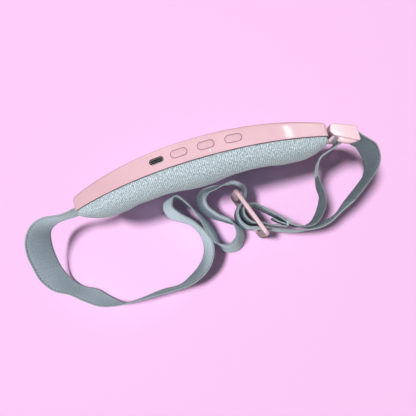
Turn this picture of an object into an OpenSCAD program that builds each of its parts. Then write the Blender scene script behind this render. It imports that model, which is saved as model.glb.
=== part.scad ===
// Eye massager mask standing on its lower edge: a curved shell with a knit face pad,
// an elastic head strap, a hinged strap ring and a three-bar strap slider.
// Millimetres. +X runs along the mask, +Y is the way the wearer looks and +Z is up.

/* [Mask shell] */
// Length of the mask from end to end
mask_len = 180; // [172:1:190]
// Height at the middle
mask_h = 85; // [82:1:90]
// How far the top edge drops from the middle to the ends
top_drop = 13; // [8:1:16]
// Depth of the shell at the middle, from the visor to the pad
shell_depth = 14; // [13:0.5:17]
// Radius of the visor's curve as seen from above
front_r = 318; // [300:1:340]
// Radius of the joint between shell and pad as seen from above
back_r = 492; // [470:1:520]
// Thickness of the moulded walls
wall = 2; // [1.6:0.2:2.4]
// Height of the nose notch above the standing edge
nose_h = 25; // [18:1:30]
// Width measure of the nose notch
nose_w = 15; // [12:1:18]

/* [Face pad] */
// Distance from the visor line to the pad's face at the middle
pad_face = 28.6; // [27:0.2:31]
// Depth of the two eye cups
cup_depth = 7.5; // [3:0.5:8]

/* [Top controls] */
// Distance between the port and the buttons along the top
control_pitch = 17.4; // [16:0.1:18]
// Length of a button cap
button_len = 11; // [9:0.5:12]
// Width of a button cap
button_wid = 4.8; // [4:0.2:5.4]
// Travel of a button
button_travel = 0.5; // [0.3:0.1:0.6]
// Length of the charging port's opening
port_len = 10.1; // [9.4:0.1:10.6]
// Width of the charging port's opening
port_wid = 4.2; // [3.8:0.1:4.6]

/* [Strap] */
// Width of the elastic strap
strap_w = 30; // [26:1:31]
// Thickness of the elastic strap
strap_t = 1.6; // [1:0.1:1.8]

/* [Strap ring and slider] */
// Angle of the ring from the mask's length as it lies at rest
ring_angle = 22; // [10:1:30]
// Height of the ring
ring_h = 40; // [38:1:42]
// Length of the slider across its bars
slider_len = 43.5; // [42:0.5:45]
// Height of the slider
slider_h = 38; // [37:1:40]
// Thickness of the slider
slider_t = 3.2; // [2.6:0.2:3.6]

/* [Hidden] */
$fn = 64;

// Where the mask's middle stands, so that the origin is under the centre of the whole object
mask_x = 12.3;
mask_y = 51;

pink = [0.88, 0.70, 0.75];
grey_knit = [0.62, 0.68, 0.72];
strap_grey = [0.45, 0.50, 0.54];
steel = [0.75, 0.75, 0.77];

half_len = mask_len / 2;
foot_x = 62;          // the standing edge is flat out to here
end_foot = 30;        // height of the lower corner at each end
big_fn = 720;         // facets of the shell's long arcs
gap = 0.15;           // play between fixed mouldings
control_x = [-24, -24 + 0.9 * control_pitch, -24 + 1.95 * control_pitch, -24 + 3 * control_pitch];
cap_gap = 0.3;        // play around a button cap
cap_proud = 0.2;      // how far a cap stands above the shell
flange_t = 0.8;
flange_gap = 0.6;     // from the shell's wall to a cap's flange, because the wall slopes
board_y = -9.8;       // front face of the circuit board
board_t = 1.2;
frame_t = 1;          // thickness of the pad's frame
heater_t = 0.3;
pad_gap = 1.6;        // from the shell's joint line to the back of the pad
clamp_x = -83.5;
motor_x = 58;
motor_z = 44;
motor_r = 3.5;
motor_len = 16;
weight_r = 3;
pin_r = 1;
pin_play = 0.05;
hinge_x = 95.3;
hinge_y = -18;
ring_mid_z = 51;
tongue_h = 18;
tongue_r = 2.9;
rail_h = 3.5;
bar_e = 11.2;         // distance from the hinge to the bar that the strap goes round
bar_r = 1.8;
slider_pos = [26, -57, 20];
slider_turn = -70;
slider_lean = -7;

// The strap's route on the mask's own axes: x, y and height of its middle line, then how far
// its upper edge leans along x and y. It goes from the left end, through its folds and the
// slider, round the ring's bar and back to the slider, where its end is sewn.
route = [
  [-82, -18, 51, 0, 0], [-92, -19.6, 51, 0, 0], [-104, -21, 50, 0, 0], [-120, -20, 46, 0, 1],
  [-131, -23, 42, -1, 1], [-138, -30, 37, -3, 0], [-142, -40, 31, -4, 0], [-143, -52, 25, -4, 0],
  [-142, -62, 20, -4, -1], [-137, -71, 17, -2, -2], [-128, -78, 16, 0, -1], [-117, -85, 16, -1, -2],
  [-107, -93, 16, 0, -1], [-95, -99, 16, 0, 2], [-79, -99, 16, 0, 1], [-62, -98, 16, 0, 0],
  [-46, -98, 16, 0, 0], [-33, -95, 16, 2, -2], [-22, -89, 16, 4, -2], [-15, -81, 16, 5, -1],
  [-12, -71, 16, 5, 0], [-14, -61, 16, 4, 0], [-20, -51, 16, 3, 1], [-27, -45, 16, 3, 2],
  [-33, -40, 16, 5, 2], [-36, -34, 16, 6, 0], [-34, -28, 16, 6, -1], [-29, -26, 16, 3, -1],
  [-24, -29, 16, 1, 1], [-19, -36, 16, 1, 1], [-14, -44, 16, 0, 0], [-10, -53, 16, -1, 0],
  [-7, -63, 16, -2, 0], [-5, -71, 16, -1, 1], [-1, -77, 16, 1, 3], [5, -79, 16, 0, 4],
  [11, -77, 16, -2, 4], [15, -71, 16, -3, 1], [15, -64, 16, -2, 0], [10, -58, 16, 0, 2],
  [3, -53, 16, 1, 2], [-4, -47, 16, 3, 2], [-8, -41, 16, 5, 0], [-8, -34, 16, 5, -2],
  [-3, -29, 16, 4, -3], [5, -28, 16, 2, -3], [14, -28, 16, 1, -1], [22, -29, 17, 0, 0],
  [27, -34, 18, 1, 0], [27.5, -40, 19, 1, 0], [24.5, -45, 20, 1.7, 0.6], [20, -48.5, 20, 1.7, 0.6],
  [16.5, -54, 20, 1.7, 0.6], [17, -61, 20, 1.7, 0.6], [21.5, -66.5, 20, 1.7, 0.6],
  [28.6, -68.8, 20, 1.7, 0.6], [38, -72.3, 20, 1, 0.6], [49, -77, 20, 0, 1], [61, -80.5, 21, 0, 1],
  [72, -81, 24, 0, 0],
  [81, -79, 28, 0, 0], [90, -75, 32, -1, 1], [100, -68, 36, 0, 0], [110, -60, 40, 0, 0],
  [117.5, -53, 43, 0, 0], [121, -45, 45, 1, 0], [120.5, -37, 47, 1, 1], [117, -31, 49, 0, 0],
  [113.5, -27.5, 50, 0, 0], [110.5, -24, 51, 0, 0], [108.8, -20.8, 51, 0, 0], [106.5, -19, 51, 0, 0],
  [103.8, -19.5, 51, 0, 0], [102.3, -22, 51, 0, 0], [100.4, -25, 51, 0, 0], [96.5, -28, 51, -1, -1],
  [91, -30, 50, -1, -1], [85, -33.5, 48, -2, 0], [82, -38.5, 45, -2, 0], [81, -45, 41, -2, 0],
  [81.5, -52, 37, -1, 0], [82.5, -59, 33, -1, 0], [81, -66, 29, 0, 0], [78, -71.5, 25, 0, 0],
  [73.5, -76.5, 22, 0, 0], [68, -78.3, 21, 0, 0], [63, -77.2, 20, 0, 0], [57, -74.4, 20, 0, 0],
  [51.5, -69.6, 20, 0, 0], [46.5, -64.2, 20, 1, 0], [39.3, -57.3, 20, 1, 0], [32, -51.2, 20, 1, 0.6],
  [25, -50, 20, 1.7, 0.6],
  [21.3, -53, 20, 1.7, 0.6], [22, -59.5, 20, 1.7, 0.6], [26.1, -64.4, 20, 1.7, 0.6], [31, -66, 20, 1.7, 0.6],
  [40, -69.5, 20, 0, 0], [51, -73.8, 20, 0, 0]];
route_steps = 3;      // cross-sections to each stretch of the route

// ---- curves of the shell ----
function front_y(x) = sqrt(front_r * front_r - x * x) - front_r;
function back_y(x) = -shell_depth - back_r + sqrt(back_r * back_r - x * x);
function mid_y(x) = (front_y(x) + back_y(x)) / 2;
function top_z(x) = mask_h - top_drop * pow(min(1, abs(x) / half_len), 2.6);
function nose_z(x) = (nose_h + 1) * exp(-pow(x / nose_w, 2)) - 1;
function end_z(x) = end_foot * pow(max(0, (x - foot_x) / (half_len - foot_x)), 2);
function foot_z(x, inset) = inset + max(0, nose_z(max(0, abs(x) - inset)), end_z(abs(x) + inset));

// Outline of the mask seen from the front, drawn in by inset
function outline(inset, n = 60) =
  let (reach = half_len - inset)
  concat([for (i = [0:n]) let (x = -reach + 2 * reach * i / n) [x, foot_z(x, inset)]],
         [for (i = [n:-1:0]) let (x = -reach + 2 * reach * i / n) [x, top_z(x) - inset]]);

module on_mask() { translate([mask_x, mask_y, 0]) children(); }

module outline_block(inset) {
  rotate([90, 0, 0]) linear_extrude(60, center = true) polygon(outline(inset));
}

// The space between the visor's arc and the joint's arc, moved in from each by a distance
module curved_slab(front_in, back_in) {
  translate([0, 0, -1]) linear_extrude(mask_h + 2) difference() {
    translate([0, -front_r]) circle(r = front_r - front_in, $fn = big_fn);
    translate([0, -shell_depth - back_r]) circle(r = back_r + back_in, $fn = big_fn);
  }
}

// A thin curved sheet behind the joint line, from one distance to another
module curved_sheet(near, far) {
  translate([0, 0, -1]) linear_extrude(mask_h + 2) difference() {
    translate([0, -shell_depth - back_r]) circle(r = back_r - near, $fn = big_fn);
    translate([0, -shell_depth - back_r]) circle(r = back_r - far, $fn = big_fn);
  }
}

// Puts a piece on the middle of the shell's depth, turned to follow the curve
module on_curve(x) {
  translate([x, mid_y(x), 0]) rotate([0, 0, -asin(x / ((front_r + back_r) / 2))]) children();
}

module pill(len, wid, h) {
  linear_extrude(h) {
    square([len - wid, wid], center = true);
    for (s = [-1, 1]) translate([s * (len - wid) / 2, 0]) circle(d = wid);
  }
}

screw_places = [[-42, 75], [42, 75], [-46, 8], [46, 8], [-73, 64], [73, 64]];

// ---- mouldings ----
module front_shell() color(pink) on_mask() difference() {
  union() {
    difference() {
      intersection() { outline_block(0); curved_slab(0, 0); }
      intersection() { outline_block(wall); curved_slab(wall, -5); }
    }
    // screw bosses from the visor wall back to the cover
    intersection() {
      for (p = screw_places) translate([p[0], 0, p[1]]) rotate([90, 0, 0]) cylinder(r = 2.4, h = 40);
      curved_slab(wall / 2, wall + gap);
    }
    // hinge tongue at the right end
    translate([hinge_x, hinge_y, ring_mid_z - tongue_h / 2]) cylinder(r = tongue_r, h = tongue_h);
    translate([half_len - wall, hinge_y - 1.6, ring_mid_z - tongue_h / 2])
      cube([hinge_x - half_len + wall, 3.2, tongue_h]);
  }
  for (p = screw_places)
    translate([p[0], front_y(p[0]) - wall - 1, p[1]]) rotate([90, 0, 0]) cylinder(r = 1.05, h = 30);
  // openings of the port, the buttons and the light
  on_curve(control_x[0]) translate([0, 0, mask_h - 6]) pill(port_len, port_wid, 10);
  for (i = [1:3]) on_curve(control_x[i]) translate([0, 0, mask_h - 6])
    pill(button_len + 2 * cap_gap, button_wid + 2 * cap_gap, 10);
  translate([control_x[2] + 1.8, -11.4, mask_h - 6]) cylinder(r = 0.65, h = 10);
  // slot that the strap leaves by at the left end
  translate([-half_len - 1, -21.3, ring_mid_z - 16]) cube([5, 3.6, 32]);
  // bore of the hinge
  translate([hinge_x, hinge_y, 0]) cylinder(r = pin_r + pin_play, h = 80);
}

module back_cover() color([0.80, 0.66, 0.70]) on_mask() difference() {
  intersection() { outline_block(wall + gap); curved_sheet(-wall, 0); }
  for (p = screw_places) translate([p[0], 0, p[1]]) rotate([90, 0, 0]) cylinder(r = 1.05, h = 40);
  for (z = [33.2, 68.8]) translate([clamp_x, 0, z]) rotate([90, 0, 0]) cylinder(r = 0.95, h = 40);
  translate([-half_len - 1, -21.3, ring_mid_z - 16]) cube([8, 3, 32]);
}

module pad_frame() color([0.35, 0.36, 0.38]) on_mask() difference() {
  intersection() { outline_block(wall); curved_sheet(0.1, 0.1 + frame_t); }
  for (p = screw_places) translate([p[0], 0, p[1]]) rotate([90, 0, 0]) cylinder(r = 2.3, h = 40);
  for (z = [33.2, 68.8]) translate([clamp_x, 0, z]) rotate([90, 0, 0]) cylinder(r = 1.8, h = 40);
}

// ---- face pad ----
pad_inset = 0.8;
pad_reach = half_len - 2;
function smooth(t) = let (c = min(1, max(0, t))) c * c * (3 - 2 * c);
function face_y(x) = let (a = abs(x))
  -pad_face - 1.8 * pow(sin(90 * min(1, a / 60)), 2) + 6.2 * pow(max(0, (a - 66) / 22), 2.5);
function cup(x, z) = cup_depth * exp(-pow((abs(x) - 34) / 17, 2) - pow((z - 47) / 14, 2));
function cheek(z) = 0.42 + 0.58 * smooth((z - 27) / 24);
function crown(w) = pow(1 - pow(abs(2 * w - 1), 6), 0.5);
function pad_depth(x, z, w) = let (full = back_y(x) - face_y(x), rim = pad_gap + 0.9)
  rim + max(0, full * cheek(z) - rim - cup(x, z)) * crown(w);
pad_cols = 60;
pad_rows = 20;
function pad_foot(x) = foot_z(x, pad_inset * smooth((abs(x) - 40) / 30));
function height(x, w) = pad_foot(x) + w * (top_z(x) - pad_inset - pad_foot(x));
function at(i, j) = i * (pad_rows + 1) + j;

module face_pad() color(grey_knit) on_mask() {
  xs = [for (i = [0:pad_cols]) pad_reach * sin(90 * (2 * i / pad_cols - 1))];
  ws = [for (j = [0:pad_rows]) 0.5 - 0.5 * cos(180 * j / pad_rows)];
  face = [for (x = xs) for (w = ws) let (z = height(x, w)) [x, back_y(x) - pad_depth(x, z, w), z]];
  back = [for (x = xs) for (w = ws) [x, back_y(x) - pad_gap, height(x, w)]];
  n = (pad_cols + 1) * (pad_rows + 1);
  polyhedron(concat(face, back), concat(
    [for (i = [0:pad_cols - 1]) for (j = [0:pad_rows - 1])
      [at(i, j), at(i, j + 1), at(i + 1, j + 1), at(i + 1, j)]],
    [for (i = [0:pad_cols - 1]) for (j = [0:pad_rows - 1])
      [n + at(i, j), n + at(i + 1, j), n + at(i + 1, j + 1), n + at(i, j + 1)]],
    [for (i = [0:pad_cols - 1]) [at(i, 0), at(i + 1, 0), n + at(i + 1, 0), n + at(i, 0)]],
    [for (i = [0:pad_cols - 1])
      [at(i, pad_rows), n + at(i, pad_rows), n + at(i + 1, pad_rows), at(i + 1, pad_rows)]],
    [for (j = [0:pad_rows - 1]) [at(0, j), n + at(0, j), n + at(0, j + 1), at(0, j + 1)]],
    [for (j = [0:pad_rows - 1])
      [at(pad_cols, j), at(pad_cols, j + 1), n + at(pad_cols, j + 1), n + at(pad_cols, j)]]),
    convexity = 6);
}

// ---- top controls ----
module button(i) on_curve(control_x[i]) {
  z = top_z(control_x[i]);
  translate([0, 0, z - wall - flange_gap]) pill(button_len, button_wid, wall + flange_gap + cap_proud);
  translate([0, 0, z - wall - flange_gap - flange_t]) pill(button_len + 2.2, button_wid + 1.6, flange_t);
  translate([0, 0, z - wall - flange_gap - flange_t - 0.4]) cylinder(r = 1.2, h = 0.5);
}
module power_button() color(pink) on_mask() button(1);
module mode_button() color(pink) on_mask() button(2);
module heat_button() color(pink) on_mask() button(3);

module port_shell() color(steel) on_mask() on_curve(control_x[0])
  translate([0, 0, top_z(control_x[0]) - 0.8 - 7.3]) difference() {
    pill(8.94, 3.26, 7.3);
    translate([0, 0, 0.4]) pill(8.34, 2.66, 8);
  }

module port_tongue() color([0.1, 0.1, 0.11]) on_mask() on_curve(control_x[0])
  translate([-3.35, -0.35, top_z(control_x[0]) - 0.8 - 6.8]) cube([6.7, 0.7, 5.4]);

module push_switches() color([0.2, 0.2, 0.22]) on_mask() for (i = [1:3]) {
  z = top_z(control_x[i]) - wall - flange_gap - flange_t - 0.4 - button_travel - 0.2;
  translate([control_x[i] - 2.25, board_y + 0.05, z - 4.2]) cube([4.5, 3.3, 3.4]);
  translate([control_x[i], mid_y(control_x[i]), z - 0.85]) cylinder(r = 0.8, h = 0.85);
}

module main_board() color([0.1, 0.35, 0.2]) on_mask()
  translate([-33, board_y - board_t, 52]) cube([66, board_t, 25]);

module board_chips() color([0.12, 0.12, 0.13]) on_mask() {
  for (c = [[-20, 57, 6, 1], [-6, 56, 5, 0.9], [6, 58, 4, 1.2], [17, 56, 7, 1]])
    translate([c[0], board_y + 0.02, c[1]]) cube([c[2], c[3], c[2]]);
  for (x = [-10, 0, 14, 27]) translate([x, board_y + 0.02, 68]) cube([2, 0.8, 1.2]);
}

module battery() color([0.72, 0.74, 0.78]) on_mask() {
  translate([-21, -9.6, 30]) cube([42, 5.4, 19]);
  translate([-8, -8.4, 49]) cube([16, 3, 1.6]);
}

module light_pipe() color([0.95, 0.95, 0.9]) on_mask()
  translate([control_x[2] + 1.8, -11.4, top_z(control_x[2]) - 5.5]) cylinder(r = 0.6, h = 5.5);

module heater(side) intersection() {
  curved_sheet(0.1 + frame_t + 0.05, 0.1 + frame_t + 0.05 + heater_t);
  translate([side * 34, -20, 46]) rotate([90, 0, 0]) translate([0, 0, -10]) pill(36, 20, 30);
}
module heater_left() color([0.85, 0.5, 0.2]) on_mask() heater(-1);
module heater_right() color([0.85, 0.5, 0.2]) on_mask() heater(1);

// Motor pieces lie along +x of their own frame, away from the middle of the mask
module motor_frame(side) on_curve(side * motor_x) translate([0, 0, motor_z])
  rotate([0, 0, side > 0 ? 0 : 180]) rotate([0, 90, 0]) children();
module motor(side) motor_frame(side) difference() {
  translate([0, 0, -motor_len / 2]) cylinder(r = motor_r, h = motor_len);
  translate([0, 0, motor_len / 2 - 2]) cylinder(r = 0.56, h = 3);
}
module motor_shaft(side) motor_frame(side) translate([0, 0, motor_len / 2 - 1.7]) cylinder(r = 0.5, h = 7);
module motor_weight(side) motor_frame(side) translate([0, 0, motor_len / 2 + 0.6]) difference() {
  union() {
    intersection() {
      cylinder(r = weight_r, h = 4);
      translate([0, -weight_r, 0]) cube([weight_r, 2 * weight_r, 4]);
    }
    cylinder(r = 1.2, h = 4);
  }
  translate([0, 0, -1]) cylinder(r = 0.5, h = 6);
}
module motor_left() color(steel) on_mask() motor(-1);
module motor_right() color(steel) on_mask() motor(1);
module motor_shaft_left() color(steel) on_mask() motor_shaft(-1);
module motor_shaft_right() color(steel) on_mask() motor_shaft(1);
module motor_weight_left() color([0.5, 0.48, 0.42]) on_mask() motor_weight(-1);
module motor_weight_right() color([0.5, 0.48, 0.42]) on_mask() motor_weight(1);

// ---- fasteners ----
module case_screws() color(steel) on_mask() for (p = screw_places) {
  translate([p[0], back_y(p[0]) + wall + 4, p[1]]) rotate([90, 0, 0]) cylinder(r = 1, h = wall + 4.4);
  translate([p[0], back_y(p[0]) - 0.35, p[1]]) rotate([90, 0, 0]) cylinder(r = 1.9, h = 0.8);
}

module strap_clamp() color([0.3, 0.3, 0.32]) on_mask() difference() {
  translate([clamp_x - 3, -17.15, ring_mid_z - 20]) cube([6, 1.25, 40]);
  for (z = [33.2, 68.8]) translate([clamp_x, 0, z]) rotate([90, 0, 0]) cylinder(r = 0.95, h = 40);
}

module clamp_screws() color(steel) on_mask() for (z = [33.2, 68.8]) {
  translate([clamp_x, -15.8, z]) rotate([90, 0, 0]) cylinder(r = 0.9, h = 5.2);
  translate([clamp_x, -14.7, z]) rotate([90, 0, 0]) cylinder(r = 1.5, h = 1.1);
}

module hinge_pin() color(steel) on_mask()
  translate([hinge_x, hinge_y, ring_mid_z - 18]) cylinder(r = pin_r, h = 36);

// ---- strap ring: x runs from the hinge to the bar, y towards the visor ----
ring_reach = 14.6;
lens_bulge = 2.8;     // how far the ring's face side swells under its top
module ring_top_plan() polygon([[-3, 2], [-2, 3], [ring_reach - 2, 3], [ring_reach, 2],
  [ring_reach + 3.2, -6], [ring_reach + 2.5, -7], [1, -5.3], [-3, -2.4]]);
module ring_low_plan() polygon([[-3, 2], [-2, 3], [ring_reach - 1, 3], [ring_reach, 2],
  [ring_reach, -1.4], [ring_reach - 1, -2.2], [-1, -3.2], [-3, -2.4]]);
module ring_lens() {
  chord = ring_reach + 2.8;
  lens_r = chord * chord / (8 * lens_bulge) + lens_bulge / 2;
  intersection() {
    translate([9, lens_r - 6.6 - lens_bulge]) circle(r = lens_r, $fn = 128);
    translate([3, -12]) square([ring_reach - 1.2, 10]);
  }
}

module strap_ring() color(pink) on_mask() translate([hinge_x, hinge_y, ring_mid_z - ring_h / 2])
  rotate([0, 0, -ring_angle]) difference() {
    union() {
      translate([0, 0, ring_h - rail_h]) linear_extrude(rail_h) ring_top_plan();
      translate([0, 0, ring_h - 4.2]) linear_extrude(3) ring_lens();
      linear_extrude(rail_h) ring_low_plan();
      for (z = [0, ring_h / 2 + tongue_h / 2 + 0.3])
        translate([0, 0, z]) linear_extrude(ring_h / 2 - tongue_h / 2 - 0.3) intersection() {
          ring_low_plan();
          translate([-4, -8]) square([7.2, 14]);
        }
      translate([bar_e, 0, 0]) cylinder(r = bar_r, h = ring_h);
    }
    translate([0, 0, 1.9]) cylinder(r = pin_r + 0.02, h = ring_h - 3.8);
  }

// ---- slider: x runs across its bars, z is its height ----
module slider() color(pink)
  on_mask() translate(slider_pos) rotate([0, 0, slider_turn]) rotate([slider_lean, 0, 0])
  rotate([90, 0, 0]) linear_extrude(slider_t, center = true) difference() {
    union() {
      square([slider_len, slider_h - 6], center = true);
      square([slider_len - 6, slider_h], center = true);
      for (sx = [-1, 1]) for (sy = [-1, 1])
        translate([sx * (slider_len / 2 - 3), sy * (slider_h / 2 - 3)]) circle(r = 3);
    }
    translate([-slider_len * 0.33, -slider_h / 2 + 3]) square([slider_len * 0.23, slider_h - 6]);
    translate([slider_len * 0.14, -slider_h / 2 + 3]) square([slider_len * 0.23, slider_h - 6]);
  }

// ---- strap ----
function spline(a, b, c, d, t) = 0.5 * (2 * b + (c - a) * t + (2 * a - 5 * b + 4 * c - d) * t * t
  + (3 * b - a - 3 * c + d) * t * t * t);
last = len(route) - 1;
stations = concat([for (i = [0:last - 1]) for (k = [0:route_steps - 1])
  spline(route[max(i - 1, 0)], route[i], route[i + 1], route[min(i + 2, last)], k / route_steps)],
  [route[last]]);
function mid(s) = [s[0], s[1], s[2]];
function rise(s) = [s[3], s[4], sqrt(pow(strap_w / 2, 2) - s[3] * s[3] - s[4] * s[4])];
function unit(v) = v / norm(v);

module strap() color(strap_grey) on_mask() {
  n = len(stations);
  rings = [for (i = [0:n - 1]) let (s = stations[i],
      along = mid(stations[min(i + 1, n - 1)]) - mid(stations[max(i - 1, 0)]),
      out = unit(cross(along, rise(s))) * strap_t / 2)
    each [mid(s) + rise(s) + out, mid(s) + rise(s) - out, mid(s) - rise(s) - out, mid(s) - rise(s) + out]];
  polyhedron(rings, concat(
    [[0, 1, 2, 3]],
    [for (i = [0:n - 2]) for (k = [0:3])
      [4 * i + k, 4 * i + 4 + k, 4 * i + 4 + (k + 1) % 4, 4 * i + (k + 1) % 4]],
    [[4 * n - 1, 4 * n - 2, 4 * n - 3, 4 * n - 4]]), convexity = 20);
}

front_shell();
back_cover();
pad_frame();
face_pad();
power_button();
mode_button();
heat_button();
port_shell();
port_tongue();
push_switches();
main_board();
board_chips();
battery();
light_pipe();
heater_left();
heater_right();
motor_left();
motor_right();
motor_shaft_left();
motor_shaft_right();
motor_weight_left();
motor_weight_right();
case_screws();
strap_clamp();
clamp_screws();
hinge_pin();
strap_ring();
slider();
strap();
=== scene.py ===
"""Looks of the eye massager mask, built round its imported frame.

Lengths are worked out in millimetres on the mask's own axes: x along the mask, y the way the
wearer looks and z up. to_frame() moves them to the frame's axes, in metres.
"""
import math
import random

import bmesh
import bpy
import numpy as np
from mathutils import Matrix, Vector, noise


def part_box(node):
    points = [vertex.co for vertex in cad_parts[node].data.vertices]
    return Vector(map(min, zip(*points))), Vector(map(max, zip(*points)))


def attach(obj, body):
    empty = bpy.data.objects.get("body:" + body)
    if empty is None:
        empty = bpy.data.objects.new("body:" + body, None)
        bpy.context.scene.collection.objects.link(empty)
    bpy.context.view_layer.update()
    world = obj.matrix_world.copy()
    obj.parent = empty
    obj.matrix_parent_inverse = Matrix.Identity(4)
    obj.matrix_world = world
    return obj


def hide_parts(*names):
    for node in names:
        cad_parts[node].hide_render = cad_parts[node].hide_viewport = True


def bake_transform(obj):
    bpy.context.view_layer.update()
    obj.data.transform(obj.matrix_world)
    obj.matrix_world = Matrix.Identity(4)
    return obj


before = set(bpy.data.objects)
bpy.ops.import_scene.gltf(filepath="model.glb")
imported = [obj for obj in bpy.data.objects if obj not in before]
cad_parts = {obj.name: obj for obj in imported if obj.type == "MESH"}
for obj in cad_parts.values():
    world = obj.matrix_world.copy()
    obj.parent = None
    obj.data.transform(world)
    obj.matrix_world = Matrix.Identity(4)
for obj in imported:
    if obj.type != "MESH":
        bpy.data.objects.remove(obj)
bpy.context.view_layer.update()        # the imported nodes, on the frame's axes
SHELL_LO, SHELL_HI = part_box("front_shell")

# ---- driving sizes, in millimetres ----
HALF_LEN = 90
MASK_H = 85
TOP_DROP = 13
TOP_BEND = 2.6            # how late the top edge falls towards the ends
SHELL_DEPTH = 14
FRONT_R = 318
BACK_R = 492
WALL = 2
NOSE_H = 25
NOSE_W = 15
FOOT_X = 62
END_FOOT = 30
CORNER = 1.5            # rounding of the outline's corners
EDGE_R = 2.0            # rounding of the visor's edge
RIM_R = 0.3
CONTROL_X = (-24, -8.34, 9.93, 28.2)
BUTTON_LEN = 11
BUTTON_WID = 4.8
CAP_GAP = 0.3
CAP_PROUD = 0.2
FLANGE_REACH = 0.9
FLANGE_GAP = 0.6          # between the wall and the flange under a cap
FLANGE_T = 0.8
PORT_LEN = 10.1
PORT_WID = 4.2
SLEEVE_LEN = 8.94
SLEEVE_WID = 3.26
SLEEVE_DROP = 0.8         # of the sleeve's lip under the top
PIPE_SHIFT = 1.8          # of the light pipe from the middle button
PIPE_Y = -11.4
PIPE_HOLE_R = 0.65
STRAP_SLOT = (-21.3, -17.7)
STRAP_SLOT_HALF_H = 16
HINGE = (95.3, -18)
RING_ANGLE = 22
RING_H = 40
RING_MID_Z = 51
RING_REACH = 14.6
RAIL_H = 3.5
TONGUE_H = 18
TONGUE_R = 2.9
TONGUE_ARM = 1.6          # half the thickness of the tongue's arm
PIN_HOLE_R = 1.05
KNUCKLE_GAP = 0.3
LENS_BULGE = 2.8
LENS_START = 3
LENS_MID = 9
LENS_EDGE = 6.6
SLIDER = (26, -57, 20)
SLIDER_TURN = -70
SLIDER_LEAN = -7
SLIDER_LEN = 43.5
SLIDER_H = 38
SLIDER_T = 3.2
STRAP_W = 30
STRAP_T = 1.3
PAD_FACE = 28.6
PAD_INSET = 0.8
PAD_REACH = 89.2
PAD_GAP = 1.6
PAD_BELLY = 1.8           # how much fuller the pad is beside the nose than at the middle
PAD_BELLY_X = 60
PAD_TUCK = 3.8            # how much thinner it gets at its ends
PAD_TUCK_X = 70
CUP_DEPTH = 7.5
CUP_X = 34
CUP_Z = 47
CUP_HALF_W = 17
CUP_HALF_H = 14
PAD_CORNER = 2.5
PUFF_CAP = 0.6            # the furthest that the knit may swell
RIB_PITCH = 1.3
RIB_RISE = 0.07
UNEVEN_RISE = 0.22
STITCH_PITCH = 1.05
CORD_PITCH = 0.8
PICK_PITCH = 0.55
DASH_PITCH = 2.6
THREAD_R = 0.16
YARN_R = 0.17
YARN_ENDS = 34
BUTTONS = {"power_button": 1, "mode_button": 2, "heat_button": 3}

# The mask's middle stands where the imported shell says
MASK = np.array([SHELL_LO.x * 1000 + HALF_LEN, SHELL_HI.y * 1000, 0])


def to_frame(points):
    """Millimetres on the mask's axes to metres in the frame."""
    return (np.asarray(points, float) + MASK) / 1000


# ---- camera, light and floor ----
def make_camera():
    data = bpy.data.cameras.new("camera")
    data.lens = 34.5
    data.sensor_width = 36
    data.clip_start = 0.01
    camera = bpy.data.objects.new("camera", data)
    camera.location = to_frame([16.3, -63, 340])
    camera.rotation_euler = [math.radians(a) for a in (2.46, 4.48, -15.96)]
    bpy.context.collection.objects.link(camera)
    bpy.context.scene.camera = camera


def area_light(name, direction, distance, size, power, lit=None, unlit=None, narrow=None):
    """A soft light. lit or unlit names the only objects that it reaches, or those it misses."""
    data = bpy.data.lights.new(name, "AREA")
    data.shape = "ELLIPSE"
    data.size = size
    data.size_y = narrow or size
    data.energy = power
    light = bpy.data.objects.new(name, data)
    way = Vector(direction).normalized()
    light.location = Vector(to_frame([0, -40, 20])) + way * distance
    light.rotation_euler = way.to_track_quat("Z", "Y").to_euler()
    bpy.context.collection.objects.link(light)
    group = bpy.data.collections.new(name + "_reach")
    for piece in lit or unlit:
        group.objects.link(bpy.data.objects[piece])
    if unlit:
        for entry in group.collection_objects:
            entry.light_linking.link_state = "EXCLUDE"
    light.light_linking.receiver_collection = group


def make_stage():
    scene = bpy.context.scene
    scene.view_settings.view_transform = "Standard"
    world = bpy.data.worlds.new("studio")
    world.use_nodes = True
    world.node_tree.nodes["Background"].inputs["Color"].default_value = (1, 0.97, 0.99, 1)
    world.node_tree.nodes["Background"].inputs["Strength"].default_value = 0.11
    scene.world = world
    bpy.ops.mesh.primitive_plane_add(size=6, location=(0, 0, 0))
    floor = bpy.context.object
    floor.name = "floor"
    floor.visible_diffuse = False
    floor.visible_glossy = False
    floor.data.materials.append(floor_paper())


def make_lights():
    right_loop = ["strap_to_ring", "strap_ring_turn", "strap_strand_back"]
    area_light("floor_light", (-0.27, 0.16, 1), 8, 1.3, 600, lit=["floor"])
    area_light("overhead", (0, -0.12, 1), 1.0, 1.0, 6.4, unlit=["floor"])
    area_light("left_fill", (-0.7, -0.5, 0.6), 1.0, 0.5, 7.0, unlit=["floor"] + right_loop)
    area_light("front_fill", (-0.2, 0.9, 0.35), 1.2, 0.7, 7.0, unlit=["floor"])
    area_light("right_fill", (0.7, 0.3, 0.6), 1.0, 0.5, 3.6, unlit=["floor"])
    area_light("visor_streak", (0.573, 0.196, 0.795), 1.0, 0.12, 0.9, lit=["visor_shell"], narrow=0.05)
    area_light("ring_glow", (0.304, 0.143, 0.941), 1.0, 0.10, 0.45, lit=["strap_ring_body"])


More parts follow.
